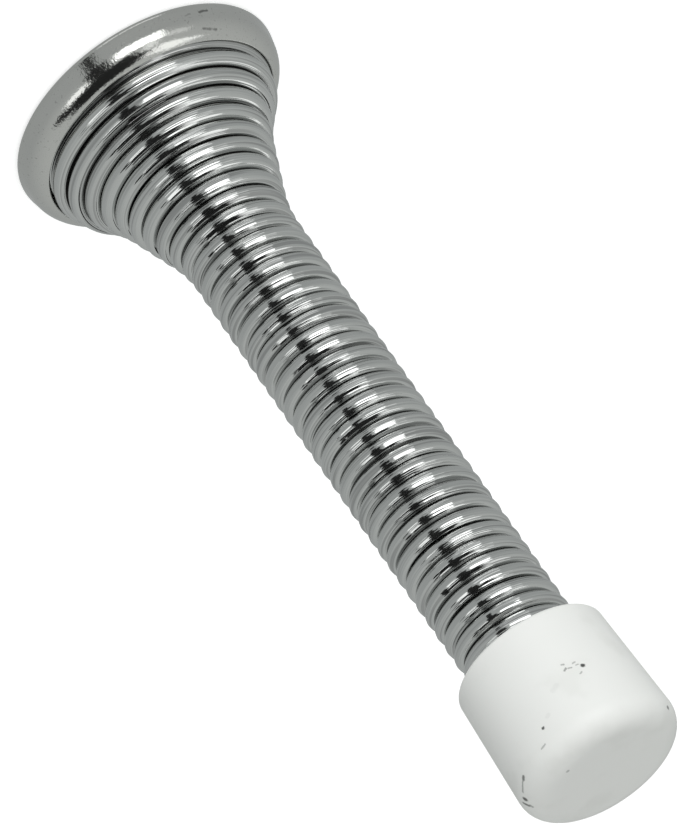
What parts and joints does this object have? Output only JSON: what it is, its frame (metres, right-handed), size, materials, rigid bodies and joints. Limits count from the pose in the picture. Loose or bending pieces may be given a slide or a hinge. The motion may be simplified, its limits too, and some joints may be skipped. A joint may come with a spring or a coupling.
{
  "type": "spring door stop",
  "caption": "Flexible door stop: a flared close-wound chrome spring held in a swaged round base cup, with a white cushioning tip on its free end.",
  "frame": {"origin": "centre of the flat back of the base cup", "axes": "+Z along the spring, from the back of the base to the tip"},
  "size_m": [0.026, 0.026, 0.08],
  "materials": {
    "cup_chrome": "polished",
    "spring_chrome": "polished",
    "tip_white": "satin, lightly scuffed"
  },
  "bodies": {
    "root": {"base_cup": "cup_chrome", "spring": "spring_chrome", "tip_cap": "tip_white"}
  },
  "joints": []
}
